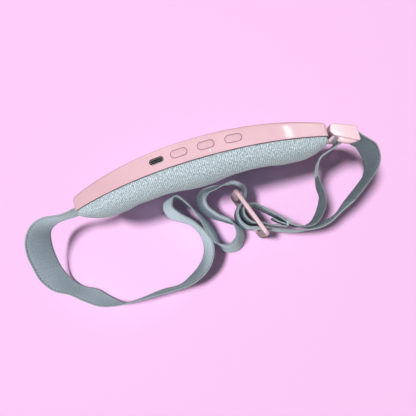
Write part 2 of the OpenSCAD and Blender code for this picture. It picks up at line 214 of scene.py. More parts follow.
# ---- materials ----
class Paint:
    """A node material as it is put together."""

    def __init__(self, name):
        self.material = bpy.data.materials.new(name)
        self.material.use_nodes = True
        self.tree = self.material.node_tree
        self.shader = self.tree.nodes["Principled BSDF"]

    def node(self, kind, sockets=None, **settings):
        made = self.tree.nodes.new(kind)
        for key, value in settings.items():
            setattr(made, key, value)
        for key, value in (sockets or {}).items():
            self.plug(made.inputs[key], value)
        return made

    def plug(self, socket, value):
        if isinstance(value, bpy.types.NodeSocket):
            self.tree.links.new(value, socket)
        else:
            socket.default_value = value

    def set(self, **sockets):
        for key, value in sockets.items():
            self.plug(self.shader.inputs[key.replace("_", " ")], value)

    def math(self, operation, a, b=0.0, clamp=False):
        made = self.node("ShaderNodeMath", {0: a, 1: b}, operation=operation, use_clamp=clamp)
        return made.outputs[0]

    def noise(self, vector, scale, detail=3.0, rough=0.55):
        sockets = {"Vector": vector, "Scale": scale, "Detail": detail, "Roughness": rough}
        return self.node("ShaderNodeTexNoise", sockets).outputs["Fac"]

    def stretch(self, vector, factors):
        sockets = {0: vector, 1: factors}
        return self.node("ShaderNodeVectorMath", sockets, operation="MULTIPLY").outputs[0]

    def between(self, value, low, high):
        """0 at or under low and 1 at or over high."""
        sockets = {"Value": value, "From Min": low, "From Max": high}
        return self.node("ShaderNodeMapRange", sockets, clamp=True).outputs[0]

    def mix(self, share, a, b):
        made = self.node("ShaderNodeMix", data_type="RGBA")
        for index, value in ((0, share), (6, a), (7, b)):
            self.plug(made.inputs[index], value)
        return made.outputs[2]

    def bump(self, height, strength, distance):
        sockets = {"Height": height, "Strength": strength, "Distance": distance}
        return self.node("ShaderNodeBump", sockets).outputs[0]

    def here(self):
        return self.node("ShaderNodeTexCoord").outputs["Object"]

    def weave(self):
        """The cloth's own place in millimetres: across, along and a side or zone."""
        return self.node("ShaderNodeAttribute", attribute_name="weave").outputs["Vector"]


def colour(red, green, blue):
    """A colour given as its sRGB bytes, in the linear form that shaders take."""
    return tuple(((c / 255 + 0.055) / 1.055) ** 2.4 for c in (red, green, blue)) + (1,)


def moulded(name, base, shade, rough, coat, grain=0.05):
    """Moulded plastic: fine grain, faint flow marks and uneven polish."""
    paint = Paint(name)
    here = paint.here()
    cloud = paint.noise(here, 45, 2)
    fine = paint.noise(here, 2600, 2)
    scuff = paint.noise(here, 420, 4)
    paint.set(
        Base_Color=paint.mix(paint.between(cloud, 0.35, 0.7), base, shade),
        Roughness=paint.math("ADD", paint.math("MULTIPLY", scuff, 0.12), rough - 0.06),
        Normal=paint.bump(fine, grain, 0.0001),
        Coat_Weight=coat,
        Coat_Roughness=0.1,
    )
    return paint.material


def floor_paper():
    paint = Paint("floor_paper")
    fibre = paint.noise(paint.here(), 900, 3)
    paint.set(
        Base_Color=paint.mix(fibre, colour(254, 205, 248), colour(252, 202, 246)),
        Roughness=0.9,
        Normal=paint.bump(fibre, 0.03, 0.0002),
    )
    paint.shader.inputs["Specular IOR Level"].default_value = 0.1
    return paint.material


def ribbed_knit():
    """Melange jersey: ribs down the pad with painted shade in their grooves, small stitches along them,
    light and dark yarns.
    """
    paint = Paint("grey_knit")
    weave = paint.weave()
    parts = paint.node("ShaderNodeSeparateXYZ", {0: weave})
    along, down = parts.outputs[0], parts.outputs[1]
    wander = paint.noise(paint.stretch(weave, (0.25, 0.18, 0)), 1.0, 2)
    turns = paint.math("ADD", paint.math("MULTIPLY", along, 2 * math.pi / RIB_PITCH),
                       paint.math("MULTIPLY", wander, 3.0))
    rib = paint.math("ADD", paint.math("MULTIPLY", paint.math("SINE", turns), 0.5), 0.5)
    stitch = paint.math("SINE", paint.math("ADD", paint.math("MULTIPLY", down, 2 * math.pi / STITCH_PITCH),
                                           paint.math("MULTIPLY", turns, 0.5)))
    yarn = paint.noise(paint.stretch(weave, (1.7, 0.5, 1)), 1.0, 3, 0.6)
    fleck = paint.noise(paint.stretch(weave, (2.0, 0.9, 1)), 1.0, 2, 0.5)
    fuzz = paint.noise(paint.stretch(weave, (6, 5, 1)), 1.0, 3, 0.7)
    base = paint.mix(paint.between(yarn, 0.38, 0.62), colour(138, 154, 162), colour(206, 219, 226))
    base = paint.mix(paint.math("MULTIPLY", paint.between(fleck, 0.56, 0.66), 0.75), base,
                     colour(240, 246, 249))
    base = paint.mix(paint.math("MULTIPLY", paint.between(fleck, 0.44, 0.34), 0.8), base,
                     colour(92, 106, 114))
    # painted shade: the knit's colour darkens in the rib grooves, where the ribs are low
    groove = paint.math("MULTIPLY", paint.between(rib, 0.5, 0.0), 0.62)
    base = paint.mix(groove, base, colour(118, 133, 141))
    height = paint.math("ADD", paint.math("MULTIPLY", rib, 0.6),
                        paint.math("ADD", paint.math("MULTIPLY", stitch, 0.22),
                                   paint.math("MULTIPLY", fuzz, 0.8)))
    paint.set(Base_Color=base, Roughness=0.92, Normal=paint.bump(height, 0.55, 0.00025),
              Sheen_Weight=0.25, Sheen_Roughness=0.5)
    return paint.material


def woven_elastic():
    """Elastic webbing: fine cords along it with painted shade between them, picks across, a sewn line
    inside each selvedge.
    """
    paint = Paint("grey_elastic")
    weave = paint.weave()
    parts = paint.node("ShaderNodeSeparateXYZ", {0: weave})
    across, along = parts.outputs[0], parts.outputs[1]
    cords = paint.math("SINE", paint.math("MULTIPLY", across, 2 * math.pi / CORD_PITCH))
    picks = paint.math("SINE", paint.math("MULTIPLY", along, 2 * math.pi / PICK_PITCH))
    cloth = paint.math("MULTIPLY", cords, picks)
    yarn = paint.noise(paint.stretch(weave, (1.3, 0.8, 1)), 1.0, 3, 0.6)
    cloud = paint.noise(paint.stretch(weave, (0.08, 0.03, 1)), 1.0, 3, 0.5)
    side = paint.math("ABSOLUTE", across)
    base = paint.mix(paint.between(yarn, 0.36, 0.64), colour(174, 191, 204), colour(224, 236, 245))
    base = paint.mix(paint.math("MULTIPLY", paint.between(cloud, 0.4, 0.7), 0.35), base,
                     colour(178, 196, 208))
    # painted shade: the colour darkens between the cords, where the cord wave is low
    base = paint.mix(paint.math("MULTIPLY", paint.between(cords, -0.2, -1.0), 0.25), base,
                     colour(110, 122, 130))
    selvedge = paint.between(side, 14.05, 14.4)
    base = paint.mix(selvedge, base, colour(140, 151, 155))
    seam = paint.math("MULTIPLY", paint.between(side, 13.15, 13.3), paint.between(side, 14.1, 13.95))
    dashes = paint.math("SINE", paint.math("MULTIPLY", along, 2 * math.pi / DASH_PITCH))
    dash = paint.between(dashes, -0.5, 0.1)
    base = paint.mix(paint.math("MULTIPLY", paint.math("MULTIPLY", seam, dash), 0.9), base,
                     colour(74, 84, 90))
    height = paint.math("ADD", paint.math("MULTIPLY", cloth, 0.35),
                        paint.math("ADD", paint.math("MULTIPLY", cords, 0.25),
                                   paint.math("MULTIPLY", yarn, 0.8)))
    paint.set(Base_Color=base, Roughness=0.85, Normal=paint.bump(height, 0.45, 0.0002),
              Sheen_Weight=0.15, Sheen_Roughness=0.5)
    return paint.material


def metal(name, base, rough, lines=(1, 1, 30)):
    """Turned or drawn metal with fine lines."""
    paint = Paint(name)
    streak = paint.noise(paint.stretch(paint.here(), lines), 160, 4)
    paint.set(Base_Color=paint.mix(streak, base, tuple(0.8 * c for c in base[:3]) + (1,)), Metallic=1.0,
              Roughness=paint.math("ADD", paint.math("MULTIPLY", streak, 0.2), rough),
              Normal=paint.bump(streak, 0.08, 0.0001))
    return paint.material


def circuit():
    """Green lacquer over a grid of tracks."""
    paint = Paint("circuit_board")
    sockets = {"Vector": paint.here(), "Scale": 260.0, "Mortar Size": 0.03}
    tracks = paint.node("ShaderNodeTexBrick", sockets)
    paint.set(Base_Color=paint.mix(tracks.outputs["Fac"], colour(20, 82, 48), colour(60, 130, 78)),
              Roughness=0.35, Normal=paint.bump(tracks.outputs["Fac"], 0.2, 0.00005))
    return paint.material


def film():
    """Amber heating film with a printed track that runs to and fro."""
    paint = Paint("heater_film")
    bands = paint.node("ShaderNodeTexWave", {"Vector": paint.here(), "Scale": 110.0, "Distortion": 0.6})
    track = paint.between(bands.outputs["Fac"], 0.45, 0.6)
    paint.set(Base_Color=paint.mix(track, colour(222, 140, 52), colour(120, 84, 50)), Roughness=0.3,
              Normal=paint.bump(track, 0.2, 0.00005))
    return paint.material


MATERIALS = {
    "pink_plastic": moulded("pink_plastic", colour(203, 164, 174), colour(197, 158, 168), 0.42, 0.22),
    "gloss_pink": moulded("gloss_pink", colour(214, 179, 188), colour(208, 172, 182), 0.26, 0.5, 0.03),
    "cover_plastic": moulded("cover_plastic", colour(226, 186, 194), colour(220, 180, 188), 0.5, 0.0),
    "dark_plastic": moulded("dark_plastic", colour(52, 50, 56), colour(44, 43, 48), 0.5, 0.0),
    "clear_plastic": moulded("clear_plastic", colour(240, 226, 228), colour(232, 218, 220), 0.2, 0.4),
    "grey_knit": ribbed_knit(),
    "grey_elastic": woven_elastic(),
    "thread": moulded("thread", colour(206, 218, 226), colour(176, 190, 198), 0.8, 0.0, 0.3),
    "steel": metal("steel", (0.45, 0.46, 0.48, 1), 0.3),
    "tungsten": metal("tungsten", (0.36, 0.34, 0.31, 1), 0.35),
    "circuit_board": circuit(),
    "cell_foil": metal("cell_foil", (0.66, 0.68, 0.72, 1), 0.4, (1, 8, 1)),
    "heater_film": film(),
}


# ---- mesh helpers ----
def build(name, points, faces, material=None):
    """An object from points in millimetres on the mask's axes."""
    mesh = bpy.data.meshes.new(name)
    mesh.from_pydata([tuple(p) for p in to_frame(points)], [], [tuple(int(v) for v in f) for f in faces])
    made = bpy.data.objects.new(name, mesh)
    bpy.context.collection.objects.link(made)
    if material:
        mesh.materials.append(MATERIALS[material])
    tidy_normals(made)
    return made


def tidy_normals(made):
    work = bmesh.new()
    work.from_mesh(made.data)
    bmesh.ops.recalc_face_normals(work, faces=work.faces)
    work.to_mesh(made.data)
    work.free()
    made.data.shade_smooth()


def bake_modifiers(made):
    """Puts the modifiers' result into the mesh."""
    graph = bpy.context.evaluated_depsgraph_get()
    mesh = bpy.data.meshes.new_from_object(made.evaluated_get(graph), preserve_all_data_layers=True,
                                           depsgraph=graph)
    made.modifiers.clear()
    old = made.data
    made.data = mesh
    bpy.data.meshes.remove(old)
    made.data.name = made.name


def combine(base, tools, operation):
    """Joins or cuts base with each tool, exactly, and removes the tools."""
    for tool in tools:
        step = base.modifiers.new("combine", "BOOLEAN")
        step.operation = operation
        step.solver = "EXACT"
        step.object = tool
        bake_modifiers(base)
        bpy.data.objects.remove(tool)


def soften(made, bevel, angle):
    """Bevels the edges that turn by more than an angle."""
    edge = made.modifiers.new("edge", "BEVEL")
    edge.width = bevel / 1000
    edge.segments = 2
    edge.limit_method = "ANGLE"
    edge.angle_limit = math.radians(angle)


def weigh_normals(made):
    weigh = made.modifiers.new("weigh", "WEIGHTED_NORMAL")
    weigh.keep_sharp = True


def crisp(made, bevel=0.0, angle=38):
    """Rounds the sharp edges a little and keeps flat faces flat."""
    if bevel:
        soften(made, bevel, angle)
        bake_modifiers(made)
    made.data.shade_smooth()
    made.data.set_sharp_from_angle(angle=math.radians(angle))
    weigh_normals(made)


def finish_piece(made, body, slot, *nodes):
    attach(made, body)
    if nodes:
        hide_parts(*nodes)


def smooth(t):
    t = min(1.0, max(0.0, t))
    return t * t * (3 - 2 * t)


# ---- curves of the shell ----
def front_y(x):
    return math.sqrt(FRONT_R ** 2 - x * x) - FRONT_R


def back_y(x):
    return -SHELL_DEPTH - BACK_R + math.sqrt(BACK_R ** 2 - x * x)


def mid_y(x):
    return (front_y(x) + back_y(x)) / 2


def top_z(x):
    return MASK_H - TOP_DROP * min(1, abs(x) / HALF_LEN) ** TOP_BEND


def foot_z(x, inset=0.0):
    near = max(0, abs(x) - inset)
    nose = (NOSE_H + 1) * math.exp(-(near / NOSE_W) ** 2) - 1
    end = END_FOOT * max(0, (abs(x) + inset - FOOT_X) / (HALF_LEN - FOOT_X)) ** 2
    return inset + max(0, nose, end)


def columns(reach, corner, pitch):
    """The outline's columns: close together round its corners and even between them."""
    turn = [reach - corner * (1 - math.sin(math.radians(a))) for a in range(0, 91, 15)]
    flat = reach - corner
    inner = list(np.linspace(-flat, flat, int(2 * flat / pitch) + 1))
    return [-x for x in reversed(turn[1:])] + inner + turn[1:]


class Outline:
    """A closed outline seen from the front, drawn as a ring of (x, z) round a grid of columns."""

    def __init__(self, xs, low, high, rows):
        self.n, self.m = len(xs) - 1, rows
        share = [j / rows for j in range(1, rows)]
        bottom = [(x, low(x)) for x in xs]
        top = [(x, high(x)) for x in reversed(xs)]
        right = [(xs[-1], low(xs[-1]) + w * (high(xs[-1]) - low(xs[-1]))) for w in share]
        left = [(xs[0], high(xs[0]) - w * (high(xs[0]) - low(xs[0]))) for w in share]
        self.ring = np.array(bottom + right + top + left)
        ahead = np.roll(self.ring, -1, 0) - np.roll(self.ring, 1, 0)
        ahead /= np.linalg.norm(ahead, axis=1)[:, None]
        self.inward = np.c_[-ahead[:, 1], ahead[:, 0]]

    def at(self, inset):
        return self.ring + self.inward * inset

    def corner(self, i, j):
        """The ring's place for a grid point on the border."""
        if j == 0:
            return i
        if i == self.n:
            return self.n + j
        if j == self.m:
            return self.n + self.m + (self.n - i)
        return 2 * self.n + self.m + (self.m - j)


def loft(rings):
    """Faces between rings of points, each (first index, count)."""
    faces = []
    for (a, count), (b, _) in zip(rings, rings[1:]):
        for k in range(count):
            k2 = (k + 1) % count
            faces.append((a + k, a + k2, b + k2, b + k))
    return faces


def closed_loft(rings):
    """Faces between rings and across the first and the last of them."""
    ends = [tuple(range(first, first + count)) for first, count in (rings[0], rings[-1])]
    return loft(rings) + ends


def fill_grid(points, faces, outline, first, depth, spread=None):
    """Fills a ring with a grid whose points lie at depth(x, z, w)."""
    spread = spread or [j / outline.m for j in range(outline.m + 1)]
    index = {}
    for i in range(outline.n + 1):
        low = points[first + outline.corner(i, 0)]
        high = points[first + outline.corner(i, outline.m)]
        for j in range(outline.m + 1):
            if i in (0, outline.n) or j in (0, outline.m):
                index[i, j] = first + outline.corner(i, j)
                continue
            w = spread[j]
            x = low[0] + w * (high[0] - low[0])
            z = low[2] + w * (high[2] - low[2])
            index[i, j] = len(points)
            points.append((x, depth(x, z, w), z))
    for i in range(outline.n):
        for j in range(outline.m):
            faces.append((index[i, j], index[i + 1, j], index[i + 1, j + 1], index[i, j + 1]))
    return index


def corner_drop(x, reach, corner):
    over = max(0.0, abs(x) - (reach - corner))
    return corner - math.sqrt(max(0.0, corner ** 2 - over ** 2))


# ---- mask shell ----
def pill_outline(length, width, steps=10):
    """Points round a pill, from its right end's lower side."""
    half = (length - width) / 2
    points = []
    for side in (1, -1):
        for k in range(steps + 1):
            a = math.radians(-90 + 180 * k / steps)
            points.append((side * (half + width / 2 * math.cos(a)), side * width / 2 * math.sin(a)))
    return points


def on_curve(x, point):
    """A point given on axes that follow the shell's curve at x, moved to the mask's axes."""
    turn = -math.asin(x / ((FRONT_R + BACK_R) / 2))
    c, s = math.cos(turn), math.sin(turn)
    return (x + c * point[0] - s * point[1], mid_y(x) + s * point[0] + c * point[1], point[2])


def pill_cutter(x, length, width):
    outline = pill_outline(length, width)
    points = [on_curve(x, (u, v, z)) for z in (MASK_H - 6, MASK_H + 4) for u, v in outline]
    n = len(outline)
    return build("cutter", points, closed_loft([(0, n), (n, n)]))


def post(x, y, radius, low, high, steps=32):
    """An upright round post."""
    turns = [2 * math.pi * k / steps for k in range(steps)]
    ring = [(x + radius * math.cos(a), y + radius * math.sin(a)) for a in turns]
    points = [(u, v, z) for z in (low, high) for u, v in ring]
    return build("post", points, closed_loft([(0, steps), (steps, steps)]))


def block(lo, hi):
    points = [(x, y, z) for x in (lo[0], hi[0]) for y in (lo[1], hi[1]) for z in (lo[2], hi[2])]
    faces = [(0, 1, 3, 2), (4, 6, 7, 5), (0, 4, 5, 1), (2, 3, 7, 6), (0, 2, 6, 4), (1, 5, 7, 3)]
    return build("block", points, faces)


def make_shell():
    xs = columns(HALF_LEN, CORNER, 1.5)
    outline = Outline(xs, lambda x: foot_z(x) + corner_drop(x, HALF_LEN, CORNER),
                      lambda x: top_z(x) - corner_drop(x, HALF_LEN, CORNER), 24)
    points, rings = [], []

    def add(inset, depth):
        rings.append((len(points), len(outline.ring)))
        for x, z in outline.at(inset):
            points.append((x, depth(min(HALF_LEN, abs(x))), z))

    for a in range(90, -1, -18):           # visor edge, from the face outwards
        s, c = math.sin(math.radians(a)), math.cos(math.radians(a))
        add(EDGE_R * (1 - c), lambda x, s=s: front_y(x) - EDGE_R * (1 - s))
    for share in (0.2, 0.4, 0.6, 0.8):
        add(0, lambda x, t=share: front_y(x) - EDGE_R + t * (back_y(x) + RIM_R - front_y(x) + EDGE_R))
    for a in range(0, 91, 30):
        s, c = math.sin(math.radians(a)), math.cos(math.radians(a))
        add(RIM_R * (1 - c), lambda x, s=s: back_y(x) + RIM_R * (1 - s))
    add(WALL, back_y)
    add(WALL, lambda x: front_y(x) - WALL)
    faces = loft(rings)
    fill_grid(points, faces, outline, rings[0][0], lambda x, z, w: front_y(x))
    fill_grid(points, faces, outline, rings[-1][0], lambda x, z, w: front_y(x) - WALL)
    shell = build("visor_shell", points, faces, "pink_plastic")

    tongue = post(HINGE[0], HINGE[1], TONGUE_R, RING_MID_Z - TONGUE_H / 2, RING_MID_Z + TONGUE_H / 2)
    arm = block((HALF_LEN - WALL, HINGE[1] - TONGUE_ARM, RING_MID_Z - TONGUE_H / 2),
                (HINGE[0], HINGE[1] + TONGUE_ARM, RING_MID_Z + TONGUE_H / 2))
    combine(shell, [arm, tongue], "UNION")
    cutters = [pill_cutter(CONTROL_X[0], PORT_LEN, PORT_WID)]
    for x in CONTROL_X[1:]:
        cutters.append(pill_cutter(x, BUTTON_LEN + 2 * CAP_GAP, BUTTON_WID + 2 * CAP_GAP))
    cutters.append(post(CONTROL_X[2] + PIPE_SHIFT, PIPE_Y, PIPE_HOLE_R, MASK_H - 6, MASK_H + 4, 16))
    cutters.append(block((-HALF_LEN - 1, STRAP_SLOT[0], RING_MID_Z - STRAP_SLOT_HALF_H),
                         (-HALF_LEN + 4, STRAP_SLOT[1], RING_MID_Z + STRAP_SLOT_HALF_H)))
    cutters.append(post(HINGE[0], HINGE[1], PIN_HOLE_R, 0, 80))
    combine(shell, cutters, "DIFFERENCE")
    crisp(shell, 0.22)
    finish_piece(shell, "mask", "pink_plastic", "front_shell")


def make_port():
    """The socket's drawn shell: a pill-shaped sleeve with a rolled lip and a floor."""
    x = CONTROL_X[0]
    top = top_z(x) - SLEEVE_DROP
    points, rings = [], []
    profile = ((0, -7.3), (0, -0.15), (0.05, -0.04), (0.15, 0), (0.25, -0.04), (0.3, -0.15), (0.3, -6.9))
    for inset, z in profile:
        outline = pill_outline(SLEEVE_LEN - 2 * inset, SLEEVE_WID - 2 * inset)
        rings.append((len(points), len(outline)))
        points += [on_curve(x, (u, v, top + z)) for u, v in outline]
    sleeve = build("port_sleeve", points, closed_loft(rings), "steel")
    crisp(sleeve)
    finish_piece(sleeve, "mask", "steel", "port_shell")


# ---- buttons ----
MARKS = {
    "power_button": [[(0.9 * math.sin(math.radians(a)), -0.15 + 0.9 * math.cos(math.radians(a)))
                      for a in range(40, 321, 20)], [(0, 0.1), (0, 1.1)]],
    "mode_button": [[(u, 0.8 - 0.8 * k) for u in (-1.2, 1.2)] for k in range(3)],
    "heat_button": [[(u + 0.25 * math.sin(v * 3), v) for v in np.linspace(-1, 1, 9)]
                    for u in (-1, 0, 1)],
}


def make_button(body, x):
    """A pill cap with rounded edges that follows the shell's slope, on its flange and stem."""
    points, rings = [], []
    fall = top_z(x)

    def add(grow, z, drape):
        outline = pill_outline(BUTTON_LEN + 2 * grow, BUTTON_WID + 2 * grow)
        rings.append((len(points), len(outline)))
        for u, v in outline:
            p = on_curve(x, (u, v, 0))
            points.append((p[0], p[1], z + drape * (top_z(p[0]) - fall)))

    base = fall - WALL - FLANGE_GAP
    add(FLANGE_REACH, base - FLANGE_T, 0)
    add(FLANGE_REACH, base, 0)
    add(0, base, 0)
    rounding = ((0.45, 0), (0.25, -0.03), (0.1, -0.14), (0.02, -0.34), (-0.06, -0.9), (-0.11, -1.6))
    for drop, grow in rounding:
        add(grow, fall + CAP_PROUD - drop, 1)
    cap = build(body + "_cap", points, closed_loft(rings), "pink_plastic")
    crisp(cap)
    finish_piece(cap, body, "pink_plastic", body)
    lines = []
    for stroke in MARKS[body]:
        places = [on_curve(x, (u, v, 0)) for u, v in stroke]
        lines.append([(p[0], p[1], top_z(p[0]) + CAP_PROUD + 0.06) for p in places])
    mark = swept(body + "_mark", lines, 0.13, "gloss_pink")
    finish_piece(mark, body, "pink_plastic")


def swept(name, lines, radius, material, sides=8):
    """Round beads along lines of points, closed at their ends, as one object."""
    points, faces = [], []
    for line in lines:
        line = np.asarray(line, float)
        ahead = np.gradient(line, axis=0)
        ahead /= np.linalg.norm(ahead, axis=1)[:, None]
        rings = []
        for k, (p, t) in enumerate(zip(line, ahead)):
            reach = radius * (0.6 if k in (0, len(line) - 1) else 1)
            side = np.cross(t, (0, 0, 1) if abs(t[2]) < 0.9 else (1, 0, 0))
            side /= np.linalg.norm(side)
            up = np.cross(side, t)
            rings.append((len(points), sides))
            for c in range(sides):
                a = 2 * math.pi * c / sides
                points.append(p + reach * (math.cos(a) * side + math.sin(a) * up))
        faces += closed_loft(rings)
    return build(name, points, faces, material)


# ---- plates with rounded edges ----
def rounded(corners, radius, steps=5):
    """A polygon's corners as short arcs."""
    points = []
    n = len(corners)
    for k in range(n):
        a, b, c = (np.array(corners[(k + d) % n], float) for d in (-1, 0, 1))
        to_a, to_c = a - b, c - b
        room = min(np.linalg.norm(to_a), np.linalg.norm(to_c)) * 0.45
        to_a, to_c = to_a / np.linalg.norm(to_a), to_c / np.linalg.norm(to_c)
        cut = min(radius, room)
        p, q = b + to_a * cut, b + to_c * cut
        for s in range(steps + 1):
            t = s / steps
            points.append(tuple((1 - t) ** 2 * p + 2 * t * (1 - t) * b + t * t * q))
    return points


def plate(name, outlines, low, high, bevel, place):
    """A flat plate between two heights with rounded edges. place moves its points to the mask's axes."""
    data = bpy.data.curves.new(name, "CURVE")
    data.dimensions = "2D"
    data.fill_mode = "BOTH"
    data.extrude = (high - low) / 2 - bevel
    data.bevel_depth = bevel
    data.bevel_resolution = 3
    data.offset = -bevel
    for outline in outlines:
        spline = data.splines.new("POLY")
        spline.points.add(len(outline) - 1)
        spline.use_cyclic_u = True
        for k, (u, v) in enumerate(outline):
            spline.points[k].co = (u, v, 0, 1)
    drawn = bpy.data.objects.new(name, data)
    bpy.context.collection.objects.link(drawn)
    bpy.context.view_layer.update()
    mesh = bpy.data.meshes.new_from_object(drawn.evaluated_get(bpy.context.evaluated_depsgraph_get()))
    bpy.data.objects.remove(drawn)
    bpy.data.curves.remove(data)
    work = bmesh.new()
    work.from_mesh(mesh)
    bmesh.ops.remove_doubles(work, verts=work.verts, dist=0.0005)
    work.verts.ensure_lookup_table()
    points = [place((v.co.x, v.co.y, v.co.z + (low + high) / 2)) for v in work.verts]
    faces = [[v.index for v in f.verts] for f in work.faces]
    work.free()
    bpy.data.meshes.remove(mesh)
    return build(name, points, faces)


def ring_place(point):
    c, s = math.cos(math.radians(-RING_ANGLE)), math.sin(math.radians(-RING_ANGLE))
    return (HINGE[0] + c * point[0] - s * point[1], HINGE[1] + s * point[0] + c * point[1],
            RING_MID_Z - RING_H / 2 + point[2])


def make_ring():
    reach = RING_REACH
    top = [(-3, 2), (-2, 3), (reach - 2, 3), (reach, 2), (reach + 3.2, -6), (reach + 2.5, -7),
           (1, -5.3), (-3, -2.4)]
    low = [(-3, 2), (-2, 3), (reach - 1, 3), (reach, 2), (reach, -1.4), (reach - 1, -2.2),
           (-1, -3.2), (-3, -2.4)]
    knuckle = [(-3, 2), (-2, 3), (3.2, 3), (3.2, -2.9), (-1, -3.2), (-3, -2.4)]
    chord = RING_REACH + 2.8
    radius = chord ** 2 / (8 * LENS_BULGE) + LENS_BULGE / 2
    lens = [(LENS_START, -2.5)]
    for k in range(13):
        u = LENS_START + (RING_REACH - 1.2) * k / 12
        drop = math.sqrt(radius ** 2 - (u - LENS_MID) ** 2)
        lens.append((u, radius - LENS_EDGE - LENS_BULGE - drop))
    lens.append((RING_REACH - 0.8, -2.5))
    free = TONGUE_H / 2 + KNUCKLE_GAP
    ring = plate("strap_ring_body", [rounded(top, 1.0)], RING_H - RAIL_H, RING_H, 0.7, ring_place)
    parts = [
        plate("lens", [lens], RING_H - 4.4, RING_H - 1.2, 1.4, ring_place),
        plate("low", [rounded(low, 0.8)], 0, RAIL_H, 0.6, ring_place),
        plate("knuckle_a", [rounded(knuckle, 0.6)], 0, RING_H / 2 - free, 0.25, ring_place),
        plate("knuckle_b", [rounded(knuckle, 0.6)], RING_H / 2 + free, RING_H - 0.4, 0.25, ring_place),
    ]
    bar_x, bar_y, _ = ring_place((11.2, 0, 0))
    parts.append(post(bar_x, bar_y, 1.8, RING_MID_Z - RING_H / 2 + 0.5, RING_MID_Z + RING_H / 2 - 0.5))
    combine(ring, parts, "UNION")
    combine(ring, [post(HINGE[0], HINGE[1], 1.02, RING_MID_Z - 18.1, RING_MID_Z + 18.1)], "DIFFERENCE")
    ring.data.materials.append(MATERIALS["gloss_pink"])
    crisp(ring)
    finish_piece(ring, "ring", "pink_plastic", "strap_ring")


def slider_place(point):
    """Slider axes: x across the bars, y up the slider, z through it."""
    x, up, through = point
    lean, turn = math.radians(SLIDER_LEAN), math.radians(SLIDER_TURN)
    y, z = -through, up
    y, z = y * math.cos(lean) - z * math.sin(lean), y * math.sin(lean) + z * math.cos(lean)
    x, y = x * math.cos(turn) - y * math.sin(turn), x * math.sin(turn) + y * math.cos(turn)
    return (SLIDER[0] + x, SLIDER[1] + y, SLIDER[2] + z)


def make_slider():
    def frame_of(x0, x1, y0, y1):
        return [(x0, y0), (x1, y0), (x1, y1), (x0, y1)]

    half_l, half_h = SLIDER_LEN / 2, SLIDER_H / 2
    outer = rounded(frame_of(-half_l, half_l, -half_h, half_h), 5, 8)
    slots = []
    for start in (-0.33, 0.14):
        slot = frame_of(start * SLIDER_LEN, (start + 0.23) * SLIDER_LEN, -half_h + 3, half_h - 3)
        slots.append(rounded(slot, 1.2)[::-1])
    slider = plate("strap_slider", [outer] + slots, -SLIDER_T / 2, SLIDER_T / 2, 1.0, slider_place)
    slider.data.materials.append(MATERIALS["gloss_pink"])
    crisp(slider)
    finish_piece(slider, "slider", "pink_plastic", "slider")


# ---- face pad ----
def pad_depth(x, z, w):
    a = abs(x)
    face = -PAD_FACE - PAD_BELLY * math.sin(math.radians(90 * min(1, a / PAD_BELLY_X))) ** 2
    face += PAD_TUCK * max(0, (a - PAD_TUCK_X) / 19) ** 2.5
    full = back_y(x) - face
    rim = PAD_GAP + 0.9
    cup = CUP_DEPTH * math.exp(-((a - CUP_X) / CUP_HALF_W) ** 2 - ((z - CUP_Z) / CUP_HALF_H) ** 2)
    cheek = 0.42 + 0.58 * smooth((z - 27) / 24)
    crown = math.sqrt(max(0.0, 1 - abs(2 * w - 1) ** 6))
    return rim + max(0, full * cheek - rim - cup) * crown


def make_pad():
    xs = columns(PAD_REACH, PAD_CORNER, 1.6)
    outline = Outline(
        xs,
        lambda x: foot_z(x, PAD_INSET * smooth((abs(x) - 40) / 30)) + corner_drop(x, PAD_REACH, PAD_CORNER),
        lambda x: top_z(x) - PAD_INSET - corner_drop(x, PAD_REACH, PAD_CORNER), 17)
    points, rings = [], []

    def add(inset, behind):
        rings.append((len(points), len(outline.ring)))
        for x, z in outline.at(inset):
            points.append((x, back_y(x) - behind, z))

    lip = ((1.05, 1.6), (1.05, 0.6), (0.75, 0.38), (0.35, 0.38), (0.08, 0.62), (0, 1.1), (0, 1.8),
           (0, 2.5))
    for inset, behind in lip:
        add(inset, behind)
    spread = [0.5 - 0.5 * math.cos(math.pi * j / outline.m) for j in range(outline.m + 1)]
    faces = loft(rings)
    fill_grid(points, faces, outline, rings[0][0], lambda x, z, w: back_y(x) - PAD_GAP)
    first_free = len(points)
    grid = fill_grid(points, faces, outline, rings[-1][0],
                     lambda x, z, w: back_y(x) - pad_depth(x, z, w), spread)
    pad = build("knit_face_pad", points, faces, "grey_knit")
    run = np.zeros((len(points), 3), np.float32)
    run[:, 0] = [p[0] for p in points]
    for (i, j), k in grid.items():
        if j:
            before = grid[i, j - 1]
            run[k, 1] = run[before, 1] + math.dist(points[k], points[before])
    for first, count in rings[:-1]:
        for k in range(count):
            near = rings[-1][0] + k
            run[first + k, 1] = run[near, 1] + math.dist(points[first + k], points[near])
    layer = pad.data.attributes.new("weave", "FLOAT_VECTOR", "POINT")
    layer.data.foreach_set("vector", run.ravel())
    puff(pad, first_free)
    finer = pad.modifiers.new("finer", "SUBSURF")
    finer.levels = finer.render_levels = 2
    bake_modifiers(pad)
    raise_ribs(pad)
    finish_piece(pad, "mask", "grey_knit", "face_pad")


